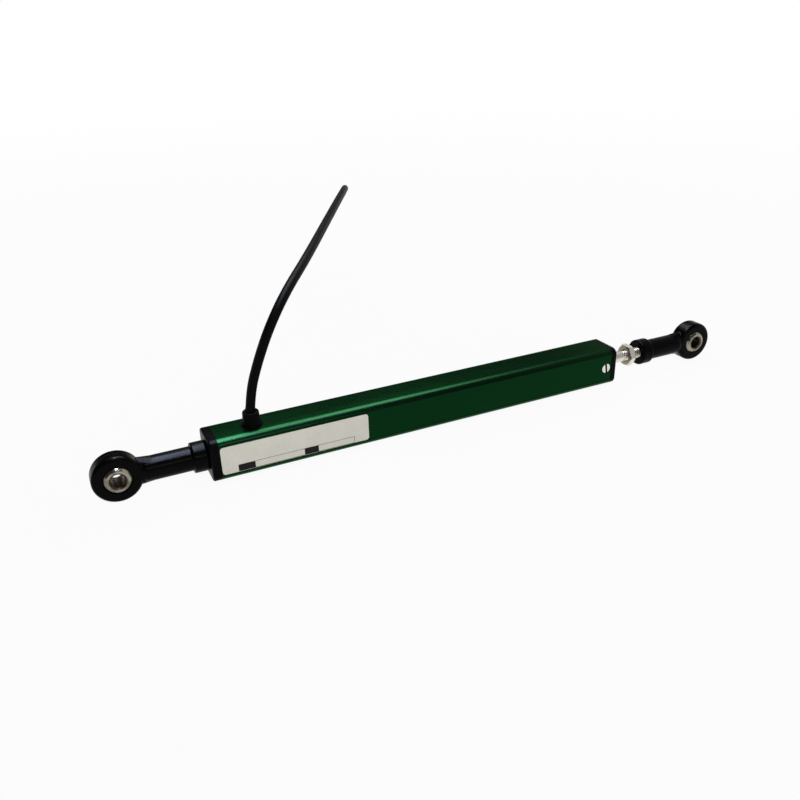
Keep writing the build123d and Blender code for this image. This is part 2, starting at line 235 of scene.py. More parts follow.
def join(pieces):
    """Make several objects one."""
    only(pieces[0])
    for piece in pieces[1:]:
        piece.select_set(True)
    bpy.ops.object.join()
    return bpy.context.object


def core_insulation(colour):
    """Smooth PVC in one colour, a little dusty."""
    made, shade = new_material("core_insulation")
    dust = shade.noise(0.0012)
    shade.finish({
        "Base Color": shade.blend(dust, (*colour, 1), (*[value * 0.75 + 0.01 for value in colour], 1)),
        "Roughness": 0.38 + dust * 0.15,
        "Specular IOR Level": 0.35,
    })
    return made


def twisted_wires(foot, direction):
    """Seven fine wires with one twist between them, that stand on a point and lean along a direction."""
    bpy.ops.object.select_all(action="DESELECT")
    bpy.ops.mesh.primitive_circle_add(vertices=10, radius=wire_diameter / 2)
    bundle = bpy.context.object
    bpy.ops.object.mode_set(mode="EDIT")
    for wire in range(6):
        round_core = (math.cos(wire * math.pi / 3), math.sin(wire * math.pi / 3), 0)
        ring_place = [value * wire_diameter for value in round_core]
        bpy.ops.mesh.primitive_circle_add(vertices=10, radius=wire_diameter / 2, location=ring_place)
    bpy.ops.object.mode_set(mode="OBJECT")
    twist = bundle.modifiers.new("twist", "SCREW")
    twist.axis = "Z"
    twist.angle = math.radians(300)
    twist.screw_offset = bare_length
    twist.steps = 20
    twist.render_steps = 20
    bpy.ops.object.modifier_apply(modifier=twist.name)
    bpy.ops.object.mode_set(mode="EDIT")
    bpy.ops.mesh.select_all(action="SELECT")
    bpy.ops.mesh.fill_holes(sides=0)
    bpy.ops.mesh.select_all(action="SELECT")
    bpy.ops.mesh.normals_make_consistent(inside=False)
    bpy.ops.object.mode_set(mode="OBJECT")
    bundle.rotation_euler = direction.to_track_quat("Z", "Y").to_euler()
    bundle.location = foot
    return place_mesh()


jacket_end = Vector(cable_points[-1])
along = (jacket_end - Vector(cable_points[-2])).normalized()
beside = Vector((-along.y, along.x, 0))
drop = Vector((0, 0, bench_height + core_diameter / 2 - on_bench))
core_colours = {"red": (0.30, 0.016, 0.012), "white": (0.70, 0.69, 0.66), "black": (0.010, 0.010, 0.011)}
bundles = []
for n, colour_name in zip((-1, 0, 1), core_colours):
    root = jacket_end + beside * (n * core_diameter)
    bend = root + along * (core_length / 4)
    landing = root + along * (core_length / 2) + beside * (n * core_spread / 2) + drop
    tip = root + along * core_length + beside * (n * core_spread * 1.5) + drop
    lean = (tip - landing).normalized()
    strip_place = tip - lean * bare_length
    core_points = [root - along * core_diameter, bend, landing, strip_place]
    core = cord_curve("core_" + colour_name, core_points, core_diameter)
    core.data.materials.append(core_insulation(core_colours[colour_name]))
    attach(core, "housing")
    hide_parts("lead_cores")
    bundles.append(twisted_wires(strip_place, lean))

tinned, shade = new_material("tinned_copper")
tin_cloud = shade.noise(0.0004)
shade.finish({
    "Base Color": shade.blend(tin_cloud, (0.52, 0.50, 0.47, 1), (0.68, 0.66, 0.62, 1)),
    "Metallic": 1.0,
    "Roughness": 0.28 + tin_cloud * 0.15,
})
strands = join(bundles)
strands.name = "bare_strands"
bpy.ops.object.shade_smooth_by_angle(angle=math.radians(50))
strands.data.materials.append(tinned)
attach(strands, "housing")
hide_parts("lead_cores")


# Bench and studio light
# A plain pale bench that runs to the horizon, in a dim room that is bright near the horizon and at
# its far side wall. Two soft lamps light the object, and three softboxes only draw reflections.
bench_size = 40.0
bench_colour = (0.9, 0.9, 0.9, 1)
glow_near_object = 0.93
glow_rises_from, glow_full_at = 0.2, 1.2
sky_low, sky_high = 0.01, 0.11
sky_colour = (0.066, 0.067, 0.071, 1)
wall_low, wall_high = 0.60, 0.67
wall_colour = (0.92, 0.88, 0.81, 1)
lamp_spread = 60


def aim(lamp, direction):
    """Turn a lamp so that it shines from the given direction, with its width along X."""
    shine = Vector(direction).normalized()
    width = Vector((0, 1, 0)).cross(shine).normalized()
    lamp.rotation_euler = Matrix((width, shine.cross(width), shine)).transposed().to_euler()


bpy.ops.object.select_all(action="DESELECT")
bpy.ops.mesh.primitive_plane_add(size=bench_size, location=(0, 0, bench_height))
bench = bpy.context.object
bench.name = "bench"
bench_paint, shade = new_material("bench_paint")
diffuse = shade.node("BsdfDiffuse", {}, {"Color": bench_colour})
glow = shade.node("Emission", {}, {"Color": (1, 1, 1, 1), "Strength": 1.0})
rays = shade.node("LightPath")
mirrored = shade.math("MAXIMUM", rays.part("Is Glossy Ray"), rays.part("Is Transmission Ray"))
seen = shade.math("MAXIMUM", rays.part("Is Camera Ray"), mirrored)
from_middle = shade.node("VectorMath", {"operation": "LENGTH"}, {0: shade.place()}).part("Value")
glow_rise = (1 - glow_near_object) * from_middle.band(glow_rises_from, glow_full_at)
bench_mix = shade.node("MixShader", {}, {0: seen * (glow_near_object + glow_rise), 1: diffuse, 2: glow})
shade.node("OutputMaterial", {}, {"Surface": bench_mix})
bench.data.materials.append(bench_paint)

world = bpy.data.worlds.new("studio")
bpy.context.scene.world = world
world.use_nodes = True
world.node_tree.nodes.clear()
shade = Shade(world.node_tree)
way = shade.node("SeparateXYZ", {}, {"Vector": shade.node("TexCoord").part("Generated")})
room = shade.blend(way.part("X").band(wall_low, wall_high), sky_colour, wall_colour)
sky = shade.blend(way.part("Z").band(sky_low, sky_high), (1, 1, 1, 1), room)
sky = shade.blend(shade.node("LightPath").part("Is Camera Ray"), sky, (1, 1, 1, 1))
shade.node("OutputWorld", {}, {"Surface": shade.node("Background", {}, {"Color": sky, "Strength": 1.0})})


def soft_lamp(name, direction, energy, colour):
    """A distant lamp with a wide soft disc."""
    lamp = bpy.data.objects.new(name, bpy.data.lights.new(name, "SUN"))
    lamp.data.energy = energy
    lamp.data.angle = math.radians(lamp_spread)
    lamp.data.color = colour
    aim(lamp, direction)
    bpy.context.scene.collection.objects.link(lamp)
    return lamp


soft_lamp("overhead", direction=(0.10, 0.45, 0.90), energy=0.7, colour=(0.92, 0.96, 1.0))
fill = soft_lamp("fill", direction=(-0.20, -0.85, 0.50), energy=2.1, colour=(1.0, 0.99, 0.97))
fill.visible_glossy = False


def softbox(name, place, width, depth, direction, energy, colour):
    """A rectangular lamp that shines from a direction and only shows in reflections."""
    lamp = bpy.data.objects.new(name, bpy.data.lights.new(name, "AREA"))
    lamp.data.shape = "RECTANGLE"
    lamp.data.size = width
    lamp.data.size_y = depth
    lamp.data.energy = energy
    lamp.data.color = colour
    lamp.location = place
    aim(lamp, direction)
    lamp.visible_diffuse = False
    bpy.context.scene.collection.objects.link(lamp)


softbox("housing_softbox", place=(0.2575, 0.290, 0.600), width=0.285, depth=0.620,
        direction=(0, 0, 1), energy=5.2, colour=(1.0, 0.98, 1.0))
softbox("shank_softbox", place=(0.064, 0.060, 0.600), width=0.058, depth=0.560,
        direction=(0, 0, 1), energy=6.6, colour=(0.74, 0.90, 1.24))
softbox("front_softbox", place=(0.080, -0.560, 0.300), width=0.300, depth=0.090,
        direction=(0.04, -0.56, 0.30), energy=0.40, colour=(1.0, 1.0, 1.0))


# Housing
# One square aluminium extrusion with rounded long edges, a shallow recess for the label, side
# slots for the track board, and drilled holes for the gland and the cap screws. Green anodised.
def limits(node):
    """Lowest and highest corner of a CAD node, in millimetres."""
    node_low, node_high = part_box(node)
    return node_low * 1000, node_high * 1000


def block(name, x, y, z):
    """A box between pairs of limits, in millimetres as all shaping is."""
    bpy.ops.object.select_all(action="DESELECT")
    middle = [(pair[0] + pair[1]) / 2 for pair in (x, y, z)]
    bpy.ops.mesh.primitive_cube_add(size=1, location=middle)
    bpy.context.object.scale = [pair[1] - pair[0] for pair in (x, y, z)]
    bpy.context.object.name = name
    return place_mesh()


axis_turns = {"X": (0, math.pi / 2, 0), "Y": (-math.pi / 2, 0, 0), "Z": (0, 0, 0)}


def turned(name, axis, stations, centre=(0, 0, 0), sides=96):
    """A turned body along an axis, pulled through pairs of distance and diameter."""
    distance, diameter = stations[0]
    bpy.ops.object.select_all(action="DESELECT")
    bpy.ops.mesh.primitive_circle_add(vertices=sides, radius=diameter / 2, fill_type="NGON")
    bpy.context.object.name = name
    bpy.ops.object.mode_set(mode="EDIT")
    bpy.ops.mesh.select_all(action="SELECT")
    bpy.ops.transform.translate(value=(0, 0, distance))
    for next_distance, next_diameter in stations[1:]:
        pull = {"value": (0, 0, next_distance - distance)}
        bpy.ops.mesh.extrude_region_move(TRANSFORM_OT_translate=pull)
        ratio = next_diameter / diameter
        bpy.ops.transform.resize(value=(ratio, ratio, 1), center_override=(0, 0, next_distance))
        distance, diameter = next_distance, next_diameter
    bpy.ops.mesh.select_all(action="SELECT")
    bpy.ops.mesh.normals_make_consistent(inside=False)
    bpy.ops.object.mode_set(mode="OBJECT")
    bpy.context.object.rotation_euler = axis_turns[axis]
    bpy.context.object.location = centre
    return place_mesh()


def round_edges(piece, width, segments, chosen):
    """Round those edges of a piece whose two ends pass a test."""
    only(piece)
    bpy.ops.object.mode_set(mode="EDIT")
    bpy.ops.mesh.select_mode(type="EDGE")
    bpy.ops.mesh.select_all(action="DESELECT")
    shape = bmesh.from_edit_mesh(piece.data)
    for edge in shape.edges:
        edge.select_set(chosen(edge.verts[0].co, edge.verts[1].co))
    bmesh.update_edit_mesh(piece.data)
    bpy.ops.mesh.bevel(offset=width, segments=segments, profile=0.5, affect="EDGES")
    bpy.ops.object.mode_set(mode="OBJECT")
    return piece


def combine(piece, tool, operation="DIFFERENCE"):
    """Cut a tool out of a piece, or join or keep what they share, and remove the tool."""
    boolean = piece.modifiers.new("boolean", "BOOLEAN")
    boolean.operation = operation
    boolean.object = tool
    boolean.solver = "EXACT"
    only(piece)
    bpy.ops.object.modifier_apply(modifier=boolean.name)
    bpy.data.objects.remove(tool)
    return piece


def along_x(one, other):
    return abs(one.x - other.x) > 0.5


def square_bar(name, x, side, corner, segments=10):
    """A square bar along X with rounded long edges."""
    bar = block(name, x, (-side / 2, side / 2), (-side / 2, side / 2))
    return round_edges(bar, corner, segments, along_x)


def fit(piece, body, slot, material, *nodes, angle=32):
    """Bring a shaped piece to metres, and put it on its body in place of its CAD nodes."""
    only(piece)
    piece.scale = (0.001, 0.001, 0.001)
    place_mesh()
    bpy.ops.object.shade_smooth_by_angle(angle=math.radians(angle))
    piece.data.materials.clear()
    piece.data.materials.append(material)
    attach(piece, body)
    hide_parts(*nodes)


tube_low, tube_high = limits("housing_tube")
tube_x = (tube_low.x, tube_high.x)
tube_side = tube_high.z - tube_low.z
edge_radius = 2.3
wall = 1.3
cavity_side = tube_side - 2 * wall
cavity_corner = 0.8
board_floor, board_slot_top, board_slot_half = -4.0, -3.1, 5.55
recess_half, recess_depth = 4.6, 0.12
recess_floor = tube_low.y + recess_depth
lip_rounding, rim_rounding = 0.03, 0.1
gland_hole = 4.04
gland_x_mm = gland_x * 1000
screw_inset = 2.2
screw_places = (tube_low.x + screw_inset, tube_high.x - screw_inset)
screw_hole = 3.5

housing = square_bar("housing_extrusion", tube_x, tube_side, edge_radius, 12)
past_ends = (tube_low.x - 1, tube_high.x + 1)
combine(housing, square_bar("cavity", past_ends, cavity_side, cavity_corner, 4))
slot_y = (-board_slot_half, board_slot_half)
combine(housing, block("board_slots", past_ends, slot_y, (board_floor, board_slot_top)))
combine(housing, block("recess", past_ends, (-tube_side, recess_floor), (-recess_half, recess_half)))
through_roof = [(cavity_side / 2 - 1, gland_hole), (tube_side, gland_hole)]
combine(housing, turned("gland_hole", "Z", through_roof, (gland_x_mm, 0, 0)))
through_sides = [(-tube_side, screw_hole), (tube_side, screw_hole)]
for hole_x in screw_places:
    combine(housing, turned("screw_hole", "Y", through_sides, (hole_x, 0, 0), 64))


def recess_lip(one, other):
    lip = abs(abs(one.z) - recess_half) < 0.01 and one.y < recess_floor - 0.04
    return lip and along_x(one, other)


def outer_end(one, other):
    ends = min(abs(one.x - tube_low.x), abs(one.x - tube_high.x)) < 0.001
    outside = all(max(abs(place.y), abs(place.z)) > board_slot_half + 0.2 for place in (one, other))
    return ends and outside and abs(one.x - other.x) < 0.001


round_edges(housing, lip_rounding, 2, recess_lip)
round_edges(housing, rim_rounding, 2, outer_end)

anodised, shade = new_material("green_anodised")
die_lines = shade.noise(0.0005, scale=(0.01, 1, 1), detail=4.0)
fine_lines = shade.noise(0.00012, scale=(0.02, 1, 1), detail=2.0)
etch = shade.noise(0.00006, detail=2.0)
bath_cloud = shade.noise(0.02, detail=2.0)
on_tube = shade.node("SeparateXYZ", {}, {"Vector": shade.node("TexCoord").part("Object")})
from_middles = [shade.math("ABSOLUTE", on_tube.part(side)) for side in ("Y", "Z")]
rounding_start = (tube_side / 2 - edge_radius) / 1000
# The rounded long edges get a lighter green and more coat: partly worn anodise, partly painted sheen that
# whitens the edge highlight.
rubbed_and_sheen = shade.math("MINIMUM", *from_middles).band(rounding_start + 0.0004, rounding_start + 0.0014)
dye_depth = die_lines * 0.7 + bath_cloud * 0.3
dyed = shade.blend(dye_depth, (0.0008, 0.0195, 0.0042, 1), (0.0014, 0.0290, 0.0074, 1))
green = shade.blend(rubbed_and_sheen * 0.8, dyed, (0.0040, 0.0330, 0.0110, 1))
shade.finish({
    "Base Color": green,
    "Metallic": 1.0,
    "Roughness": 0.24 + die_lines * 0.07,
    "Specular Tint": (0.56, 0.74, 0.58, 1),
    "Coat Weight": 0.04 + rubbed_and_sheen * 0.09,
    "Coat Roughness": 0.28,
    "Normal": shade.bump(fine_lines * 0.7 + etch * 0.3, 0.000006, 0.6),
})
fit(housing, "housing", "green_anodised", anodised, "housing_tube", angle=15)


# End caps
# Black glass-filled mouldings that close the housing. Each has a square flange, a spigot with a
# groove for its seal, and two seats for the screws that pin it through the housing's sides.
cap_rounding = 0.55
spigot_side = cavity_side - 0.1
groove_depth = 0.8
groove_width = 1.0
groove_inset = 4.4
seat_hole = 2.04
seat_depth = 1.82
stud_hole, stud_hole_depth = 4.0, 9.0
boss_diameter, boss_height, boss_chamfer = 8.0, 0.5, 0.3
bush_hole, rod_hole = 6.0, 4.6


def end_cap(name, flange_x, outer_x, spigot_x, groove_x, screw_x):
    """Flange with a rounded outer rim, its grooved spigot and the two screw seats."""
    cap = square_bar(name, flange_x, tube_side, edge_radius, 12)
    round_edges(cap, cap_rounding, 4, lambda one, other: abs(one.x - outer_x) + abs(other.x - outer_x) < 0.01)
    spigot = square_bar("spigot", spigot_x, spigot_side, cavity_corner, 4)
    groove = block("groove", groove_x, (-8, 8), (-8, 8))
    combine(groove, square_bar("core", spigot_x, spigot_side - 2 * groove_depth, cavity_corner, 4))
    combine(spigot, groove)
    combine(cap, spigot, "UNION")
    for side in (-1, 1):
        depths = sorted((side * spigot_side, side * (spigot_side / 2 - seat_depth)))
        combine(cap, turned("seat", "Y", [(depth, seat_hole) for depth in depths], (screw_x, 0, 0), 48))
    return cap


mould_black, shade = new_material("cap_plastic")
spark_texture = shade.noise(0.00011, detail=3.0)
fibre_bloom = shade.noise(0.0018, detail=4.0)
shade.finish({
    "Base Color": shade.blend(fibre_bloom, (0.0008, 0.0008, 0.0009, 1), (0.0018, 0.0018, 0.0020, 1)),
    "Roughness": 0.26 + fibre_bloom * 0.12,
    "Specular IOR Level": 0.03,
    "Normal": shade.bump(spark_texture, 0.000012, 0.7),
})

rear_low, rear_high = limits("rear_end_cap")
groove_x = (tube_low.x + groove_inset, tube_low.x + groove_inset + groove_width)
rear_cap = end_cap("rear_cap_moulding", (rear_low.x, tube_low.x), rear_low.x,
                   (tube_low.x - 0.5, rear_high.x), groove_x, screw_places[0])
stud_bore = [(rear_low.x - 1, stud_hole), (rear_low.x + stud_hole_depth, stud_hole)]
combine(rear_cap, turned("stud_hole", "X", stud_bore))
fit(rear_cap, "housing", "cap_plastic", mould_black, "rear_end_cap")

front_low, front_high = limits("front_end_cap")
front_flange_end = front_high.x - boss_height
groove_x = (tube_high.x - groove_inset - groove_width, tube_high.x - groove_inset)
front_cap = end_cap("front_cap_moulding", (tube_high.x, front_flange_end), front_flange_end,
                    (front_low.x, tube_high.x + 0.5), groove_x, screw_places[1])
boss = turned("boss", "X", [
    (tube_high.x + 0.7, boss_diameter),
    (front_high.x - boss_chamfer, boss_diameter),
    (front_high.x, boss_diameter - 2 * boss_chamfer),
])
combine(front_cap, boss, "UNION")
bush_end = limits("shaft_bush")[1].x
seal_start = limits("rod_seal")[0].x
for bore_start, bore_end, bore_diameter in (
    (front_low.x - 1, bush_end, bush_hole),
    (bush_end - 1, front_high.x + 1, rod_hole),
    (seal_start, front_high.x + 1, bush_hole),
):
    combine(front_cap, turned("bore", "X", [(bore_start, bore_diameter), (bore_end, bore_diameter)]))
fit(front_cap, "housing", "cap_plastic", mould_black, "front_end_cap")


# Cap screws
# Two pairs of small slotted steel screws, zinc plated. Their heads sit in the housing's side
# holes and bear on the cap's spigot, so that each pair pins its cap.
head_diameter = 3.4
head_height = 1.15
head_rounding = 0.16
screw_thread = 2.0
screw_reach = 1.8
slot_width = 0.75
slot_depth = 0.55
slot_tilt = math.radians(-8)


def slotted_screw(name, x, side):
    """One screw that enters from the +Y or -Y side, with the outside of its head rounded."""
    seat = spigot_side / 2
    top = seat + head_height
    inner = head_diameter - 2 * head_rounding
    shoulder = top - head_rounding
    stations = [(seat - screw_reach, screw_thread), (seat, screw_thread), (seat, head_diameter),
                (shoulder, head_diameter), (top - head_rounding * 0.3, head_diameter - head_rounding * 0.6),
                (top, inner)]
    screw = turned(name, "Y", stations, (x, 0, 0), 64)
    slot = block("slot", (-slot_width / 2, slot_width / 2), (top - slot_depth, top + 1), (-3, 3))
    slot.rotation_euler = (0, side * slot_tilt, 0)
    slot.location = (x, 0, 0)
    only(slot)
    combine(screw, place_mesh())
    only(screw)
    if side < 0:
        screw.location = (2 * x, 0, 0)
        screw.rotation_euler = (0, 0, math.pi)
        place_mesh()
    return screw


screw_zinc, shade = new_material("screw_steel")
screw_plating = shade.noise(0.0006, detail=4.0)
along_screw = shade.node("SeparateXYZ", {}, {"Vector": shade.node("TexCoord").part("Object")}).part("Y")
head_top = (spigot_side / 2 + head_height) / 1000
# Below the top of the head the screw darkens to nearly black at the slot's floor: painted shade in the slot.
clear_of_slot_shade = shade.math("ABSOLUTE", along_screw).band(head_top - slot_depth / 1000, head_top - 0.0001)
clean_zinc = shade.blend(screw_plating, (0.66, 0.66, 0.62, 1), (0.80, 0.80, 0.76, 1))
shade.finish({
    "Base Color": shade.blend(clear_of_slot_shade, (0.012, 0.012, 0.010, 1), clean_zinc),
    "Metallic": 1.0,
    "Roughness": 0.60 - clear_of_slot_shade * 0.30,
})
for name, screw_x, node in (("rear_screw_pair", screw_places[0], "rear_cap_screws"),
                            ("front_screw_pair", screw_places[1], "front_cap_screws")):
    pair = slotted_screw(name, screw_x, -1)
    combine(pair, slotted_screw("other", screw_x, 1), "UNION")
    fit(pair, "housing", "bright_steel", screw_zinc, node)


# Label
# A thin pale film with rounded corners, bonded into the housing's recess. It carries one ruled
# row with two dark tags.
label_low, label_high = limits("label")
label_corner = 1.0
row_z = (-4.20, -2.15)
tags_x = ((32.4, 37.4), (52.4, 56.8))
row_end = 68.4
rule_width = 0.13
ink_edge = 0.02
film_rounding = 0.03

bpy.ops.object.select_all(action="DESELECT")
bpy.ops.mesh.primitive_plane_add(size=1, rotation=(math.pi / 2, 0, 0))
film = bpy.context.object
film.name = "label_sheet"
film.scale = (label_high.x - label_low.x, label_high.z - label_low.z, 1)
film.location = ((label_high.x + label_low.x) / 2, label_high.y, 0)
place_mesh()
bpy.ops.object.mode_set(mode="EDIT")
bpy.ops.mesh.select_all(action="SELECT")
bpy.ops.mesh.bevel(offset=label_corner, segments=10, affect="VERTICES")
bpy.ops.mesh.select_all(action="SELECT")
bpy.ops.mesh.extrude_region_move(TRANSFORM_OT_translate={"value": (0, label_low.y - label_high.y, 0)})
bpy.ops.mesh.select_all(action="SELECT")
bpy.ops.mesh.normals_make_consistent(inside=False)
bpy.ops.object.mode_set(mode="OBJECT")
film_front = label_low.y + 0.01
round_edges(film, film_rounding, 2, lambda one, other: one.y < film_front and other.y < film_front)

film_print, shade = new_material("label_film")
on_label = shade.node("SeparateXYZ", {}, {"Vector": shade.node("TexCoord").part("Object")})
across_label = on_label.part("X") * 1000
up_label = on_label.part("Z") * 1000


def inside(value, pair):
    """1 between a pair of limits and 0 outside them."""
    past_first = value.band(pair[0] - ink_edge, pair[0] + ink_edge)
    return past_first * (1 - value.band(pair[1] - ink_edge, pair[1] + ink_edge))


in_row = inside(up_label, row_z)
tags = sum(inside(across_label, tag) for tag in tags_x) * in_row
ruled_x = (tags_x[0][0], row_end)
rules = sum(inside(up_label, (line - rule_width / 2, line + rule_width / 2)) for line in row_z)
rules = rules * inside(across_label, ruled_x) + inside(across_label, (row_end - rule_width, row_end)) * in_row
ink = shade.math("MINIMUM", tags + rules, 1.0)
speckle = shade.noise(0.00035, detail=3.0)
age = shade.noise(0.006, detail=3.0)
paper = shade.blend(speckle * 0.6 + age * 0.4, (0.46, 0.45, 0.40, 1), (0.66, 0.65, 0.60, 1))
shade.finish({
    "Base Color": shade.blend(ink, paper, (0.004, 0.004, 0.004, 1)),
    "Roughness": 0.42 + speckle * 0.12,
    "Specular IOR Level": 0.12,
    "Normal": shade.bump(speckle, 0.000008, 0.5),
})
fit(film, "housing", "label_film", film_print, "label")


# Rod ends
# Black glass-filled mouldings: a ring head with a spherical race that traps the ball, a round shank
# with a web above and below it at the head, and a collar round the threaded hole. A fine parting
# line runs round.
eye_reach = rear_low.x
eye_head_diameter = 2 * limits("rear_rod_end")[1].z
eye_head_width = 5.8
eye_head_rounding = 1.2
web_start, web_end = 4.5, 9.7
web_width, web_height = 5.0, 8.9
shank_start = 6.9
shank_diameter = 7.2
collar_diameter, collar_length, collar_rounding = 9.0, 4.3, 0.45
race_diameter = 9.56
mouth_start, mouth_end = 2.7, 3.1
thread_hole = 4.0
thread_hole_depth = 12.0
moving_eye_x = (limits("front_ball")[0].x + limits("front_ball")[1].x) / 2


def rounded_bar(name, axis, start, end, diameter, rounding, sides=128, steps=6):
    """A round bar whose two rims are rounded."""
    turns = [math.pi / 2 * step / steps for step in range(steps + 1)]
    insets = [rounding * (1 - math.sin(turn)) for turn in turns]
    widths = [diameter - 2 * rounding * (1 - math.cos(turn)) for turn in turns]
    rim = list(zip(insets, widths))
    stations = [(start + inset, width) for inset, width in reversed(rim)]
    stations += [(end - inset, width) for inset, width in rim]
    return turned(name, axis, stations, sides=sides)


def globe_stations(diameter, half_width, steps=40):
    """Stations along a sphere that is cut off at both sides."""
    reach = math.asin(2 * half_width / diameter)
    leans = [reach * (2 * step / steps - 1) for step in range(steps + 1)]
    return [(diameter / 2 * math.sin(lean), diameter * math.cos(lean)) for lean in leans]


def apply(piece, kind, **settings):
    """Add a modifier with its settings and apply it."""
    only(piece)
    modifier = piece.modifiers.new(kind.lower(), kind)
    for setting, value in settings.items():
        setattr(modifier, setting, value)
    bpy.ops.object.modifier_apply(modifier=modifier.name)
    return piece


def web():
    """Web that goes from an upright oval inside the head out to the round shank."""
    piece = turned("web", "X", [(web_start, shank_diameter), (web_end, shank_diameter)], sides=128)
    only(piece)
    bpy.ops.object.mode_set(mode="EDIT")
    bpy.ops.mesh.select_mode(type="VERT")
    bpy.ops.mesh.select_all(action="DESELECT")
    shape = bmesh.from_edit_mesh(piece.data)
    for corner in shape.verts:
        corner.select_set(corner.co.x < (web_start + web_end) / 2)
    bmesh.update_edit_mesh(piece.data)
    oval = (1, web_width / shank_diameter, web_height / shank_diameter)
    bpy.ops.transform.resize(value=oval, center_override=(web_start, 0, 0))
    bpy.ops.object.mode_set(mode="OBJECT")
    return piece


def eye_body(name):
    """A rod end about its own eye, with its shank along X."""
    half_width = eye_head_width / 2
    head = rounded_bar("head", "Y", -half_width, half_width, eye_head_diameter, eye_head_rounding)
    shank = turned("shank", "X", [
        (shank_start, shank_diameter - 1.5),
        (shank_start + 0.2, shank_diameter - 0.7),
        (shank_start + 0.5, shank_diameter - 0.2),
        (shank_start + 0.9, shank_diameter),
        (eye_reach - 1, shank_diameter),
    ], sides=128)
    collar_start = eye_reach - collar_length
    collar = rounded_bar("collar", "X", collar_start, eye_reach, collar_diameter, collar_rounding)
    body = join([head, web(), shank, collar])
    body.name = name
    apply(body, "REMESH", mode="VOXEL", voxel_size=0.13)
    apply(body, "SMOOTH", factor=0.5, iterations=6)
    race = globe_stations(race_diameter, mouth_start)
    mouth_edge = race_diameter * math.cos(math.asin(2 * mouth_start / race_diameter))
    mouth = mouth_edge + 2 * (mouth_end - mouth_start)
    race = [(-mouth_end, mouth)] + race + [(mouth_end, mouth)]
    combine(body, turned("race", "Y", race, sides=128))
    hole = [(eye_reach - thread_hole_depth, thread_hole), (eye_reach - 0.5, thread_hole),
            (eye_reach + 0.5, thread_hole + 1.0)]
    combine(body, turned("hole", "X", hole, sides=64))
    return body


eye_plastic, shade = new_material("rod_end_plastic")
fibres = shade.noise(0.00013, detail=4.0)
flow = shade.noise(0.0022, scale=(0.6, 1, 1), detail=4.0)
sideways = shade.node("SeparateXYZ", {}, {"Vector": shade.node("TexCoord").part("Object")}).part("Y")
parting_line = 1 - shade.math("ABSOLUTE", sideways).band(0.00002, 0.00008)
shade.finish({
    "Base Color": shade.blend(flow, (0.0007, 0.0007, 0.0009, 1), (0.0016, 0.0016, 0.0019, 1)),
    "Roughness": 0.18 + flow * 0.12,
    "Specular IOR Level": 0.036,
    "Normal": shade.bump(fibres * 0.25 + parting_line, 0.00002, 0.8),
})
rear_eye = eye_body("rear_eye_body")
only(rear_eye)
bpy.ops.object.duplicate()
front_eye = bpy.context.object
front_eye.name = "front_eye_body"
front_eye.rotation_euler = (0, 0, math.pi)
front_eye.location = (moving_eye_x, 0, 0)
place_mesh()
fit(rear_eye, "housing", "rod_end_plastic", eye_plastic, "rear_rod_end", angle=40)
fit(front_eye, "shaft", "rod_end_plastic", eye_plastic, "front_rod_end", angle=40)


# Eye balls
# Hardened steel balls, cut flat at both sides and bored for the pivot bolt, with a countersink at
# each end of the bore. Each turns and tilts in its rod end.
ball_diameter = 9.5
ball_half_width = 3.5
pivot_bore = 4.0
countersink = 0.45
rim_radius = 0.05


def eye_ball(name, x):
    """A ball about its own bore."""
    ball = turned(name, "Y", globe_stations(ball_diameter, ball_half_width), (x, 0, 0), 128)
    wide = pivot_bore + 2 * countersink
    straight = ball_half_width - countersink
    bore = [
        (-ball_half_width - 1, wide + 2),
        (-ball_half_width, wide),
        (-straight, pivot_bore),
        (straight, pivot_bore),
        (ball_half_width, wide),
        (ball_half_width + 1, wide + 2),
    ]
    combine(ball, turned("bore", "Y", bore, (x, 0, 0), 96))
    near_face = ball_half_width - 0.001
    round_edges(ball, rim_radius, 2, lambda one, other: min(abs(one.y), abs(other.y)) > near_face)
    return ball


ball_steel, shade = new_material("ball_steel")
oil_film = shade.noise(0.0028, detail=3.0)
lapping = shade.noise(0.0003, scale=(1, 8, 1), detail=3.0)
coordinates = shade.node("TexCoord").part("Object")
from_centres = []
for centre in (0, moving_eye_x):
    ends = {0: coordinates, 1: (centre / 1000, 0, 0)}
    from_centres.append(shade.node("VectorMath", {"operation": "DISTANCE"}, ends).part("Value"))
wall_reach = math.hypot(pivot_bore / 2, ball_half_width - countersink) / 1000
# The bore and the inner lip of each countersink are painted dark brown: painted shade inside the bore.
outside_bore_shade = shade.math("MINIMUM", *from_centres).band(wall_reach + 0.0005, wall_reach + 0.0008)
lapped = shade.blend(oil_film.band(0.35, 0.65), (0.15, 0.13, 0.10, 1), (0.31, 0.285, 0.235, 1))
shade.finish({
    "Base Color": shade.blend(outside_bore_shade, (0.060, 0.042, 0.026, 1), lapped),
    "Metallic": 1.0,
    "Roughness": 0.34 + oil_film * 0.12 - outside_bore_shade * 0.18,
    "Normal": shade.bump(lapping, 0.000003, 0.5),
})
fit(eye_ball("rear_eye_ball", 0), "rear_ball", "ball_steel", ball_steel, "rear_ball", angle=25)
fit(eye_ball("front_eye_ball", moving_eye_x), "front_ball", "ball_steel", ball_steel, "front_ball", angle=25)


# Sliding rod
# Ground stainless rod. Its inner end is a journal with a groove for the clip, which turns in the
# carriage, and its outer end has a rolled M4 thread for the lock nut and the moving rod end.
thread_length = 15.0
thread_major, thread_minor, thread_pitch = 3.96, 3.2, 0.7
journal_diameter = 3.0
groove_diameter = 2.3
end_play = 0.05
clip_play = 0.02
rod_chamfer = 0.2
tip_chamfer = 0.45

rod_low, rod_high = limits("shaft")
clip_low, clip_high = limits("retaining_clip")
shoulder_x = limits("carriage")[1].x + end_play
thread_start = rod_high.x - thread_length


